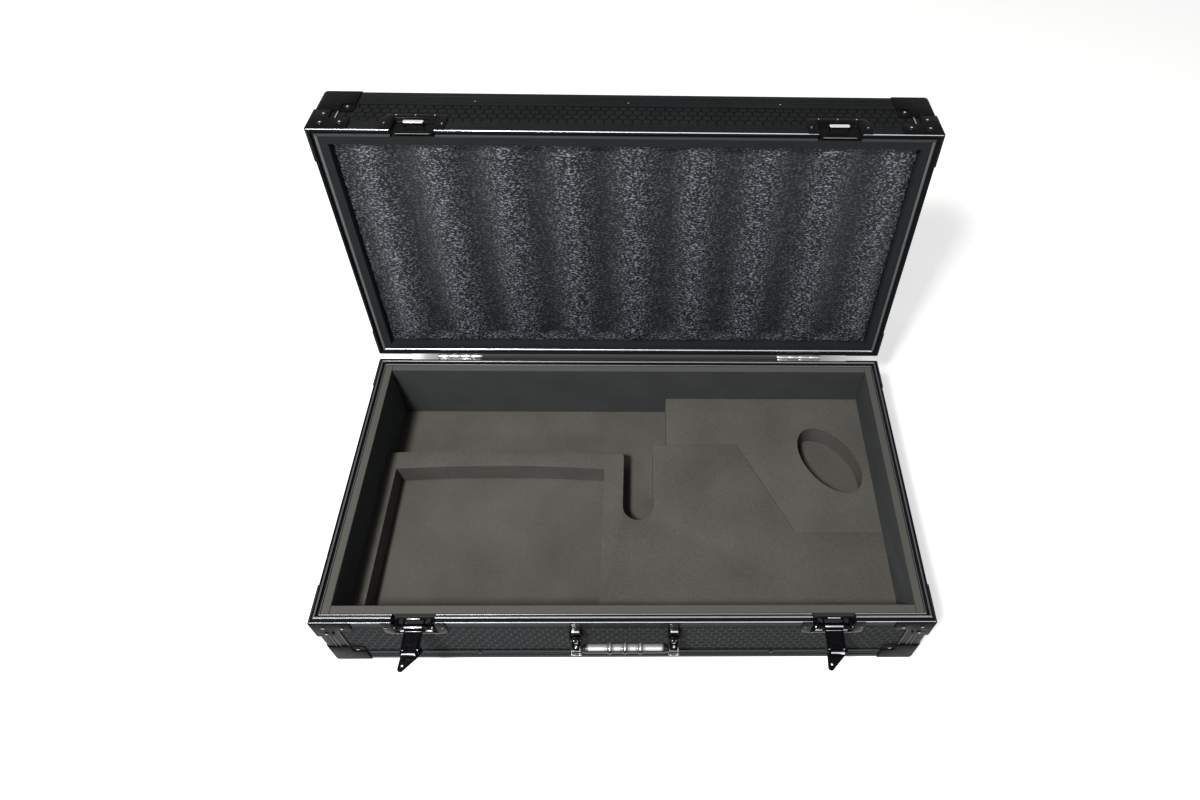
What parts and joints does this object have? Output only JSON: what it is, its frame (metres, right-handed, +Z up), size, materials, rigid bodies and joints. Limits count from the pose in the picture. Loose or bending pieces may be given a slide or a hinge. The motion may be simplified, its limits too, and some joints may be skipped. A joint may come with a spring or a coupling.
{
  "type": "carry case",
  "caption": "Hard carry case with black aluminium edges, hexagon-embossed boards, hinged lid, butterfly latches, drop handle and fitted foam with pockets.",
  "frame": {"origin": "midway between the four corner caps, on the plane that they stand on", "axes": "+X to the right along the case's length, -Y to the front with the latches and handle, +Z up; stored with the lid open on its stop"},
  "size_m": [0.9024, 0.6685, 0.6318],
  "materials": {
    "hexagon_board": "dark grey-green laminate, hexagon embossed",
    "edge_angle": "black anodised, fine grooves",
    "rim_extrusion": "glossy black anodised",
    "coated_steel": "satin black coating",
    "latch_steel": "glossy black plating",
    "bright_zinc": "bright zinc",
    "chrome_plate": "polished",
    "hinge_metal": "nickel plated",
    "grip_coating": "glossy black",
    "block_foam": "fine grey foam",
    "lining_foam": "fine dark foam",
    "wave_foam": "open-cell wave foam"
  },
  "bodies": {
    "tray": {"tray_bottom_panel": "hexagon_board", "tray_front_panel": "hexagon_board", "tray_back_panel": "hexagon_board", "tray_left_panel": "hexagon_board", "tray_right_panel": "hexagon_board", "tray_edge_frame": "edge_angle", "tray_rim": "rim_extrusion", "tray_corner_cap_front_left": "coated_steel", "tray_corner_brace_front_left": "coated_steel", "tray_corner_cap_front_right": "coated_steel", "tray_corner_brace_front_right": "coated_steel", "tray_corner_cap_back_left": "coated_steel", "tray_corner_brace_back_left": "coated_steel", "tray_corner_cap_back_right": "coated_steel", "tray_corner_brace_back_right": "coated_steel", "tray_front_lining": "lining_foam", "tray_back_lining": "lining_foam", "tray_left_lining": "lining_foam", "tray_right_lining": "lining_foam", "tray_floor_foam": "block_foam", "tray_main_foam": "block_foam", "tray_corner_foam": "block_foam", "tray_hinge_leaf_left": "hinge_metal", "hinge_pin_left": "hinge_metal", "latch_dish_left": "coated_steel", "handle_bracket_left": "chrome_plate", "tray_hinge_leaf_right": "hinge_metal", "hinge_pin_right": "hinge_metal", "latch_dish_right": "coated_steel", "handle_bracket_right": "chrome_plate"},
    "lid": {"lid_top_panel": "hexagon_board", "lid_front_panel": "hexagon_board", "lid_back_panel": "hexagon_board", "lid_left_panel": "hexagon_board", "lid_right_panel": "hexagon_board", "lid_edge_frame": "edge_angle", "lid_rim": "rim_extrusion", "lid_corner_cap_front_left": "coated_steel", "lid_corner_brace_front_left": "coated_steel", "lid_corner_cap_front_right": "coated_steel", "lid_corner_brace_front_right": "coated_steel", "lid_corner_cap_back_left": "coated_steel", "lid_corner_brace_back_left": "coated_steel", "lid_corner_cap_back_right": "coated_steel", "lid_corner_brace_back_right": "coated_steel", "lid_lining": "lining_foam", "lid_wave_foam": "wave_foam", "lid_hinge_leaf_left": "hinge_metal", "keeper_dish_left": "coated_steel", "lid_hinge_leaf_right": "hinge_metal", "keeper_dish_right": "coated_steel"},
    "arm_left": {"latch_arm_left": "latch_steel"},
    "key_left": {"latch_key_left": "latch_steel"},
    "claw_left": {"latch_claw_left": "bright_zinc"},
    "arm_right": {"latch_arm_right": "latch_steel"},
    "key_right": {"latch_key_right": "latch_steel"},
    "claw_right": {"latch_claw_right": "bright_zinc"},
    "handle": {"handle_grip": "grip_coating", "handle_link_left": "chrome_plate", "handle_link_right": "chrome_plate"}
  },
  "joints": [
    {"name": "lid_hinge", "type": "hinge", "parent": "tray", "child": "lid", "pos_m": [0, 0.2421, 0.1516], "axis": [1, 0, 0], "range_deg": [0, 93.4]},
    {"name": "handle_swing", "type": "hinge", "parent": "tray", "child": "handle", "pos_m": [0, -0.2435, 0.112], "axis": [-1, 0, 0], "range_deg": [0, 90]},
    {"name": "latch_arm_left", "type": "hinge", "parent": "tray", "child": "arm_left", "pos_m": [-0.3015, -0.2385, 0.14], "axis": [-1, 0, 0], "range_deg": [0, 90]},
    {"name": "latch_key_left", "type": "hinge", "parent": "arm_left", "child": "key_left", "pos_m": [-0.3015, -0.2645, 0.14], "axis": [0, 0, -1], "range_deg": [0, 160]},
    {"name": "latch_claw_left", "type": "slide", "parent": "arm_left", "child": "claw_left", "axis": [0, 1, 0], "range_m": [0, 0.0059]},
    {"name": "latch_arm_right", "type": "hinge", "parent": "tray", "child": "arm_right", "pos_m": [0.3015, -0.2385, 0.14], "axis": [-1, 0, 0], "range_deg": [0, 90]},
    {"name": "latch_key_right", "type": "hinge", "parent": "arm_right", "child": "key_right", "pos_m": [0.3015, -0.2645, 0.14], "axis": [0, 0, -1], "range_deg": [0, 160]},
    {"name": "latch_claw_right", "type": "slide", "parent": "arm_right", "child": "claw_right", "axis": [0, 1, 0], "range_m": [0, 0.0059]}
  ],
  "couplings": [
    {"joint": "latch_claw_left", "follows": "latch_key_left", "m_per_rad": 0.0020838},
    {"joint": "latch_claw_right", "follows": "latch_key_right", "m_per_rad": 0.0020838}
  ]
}
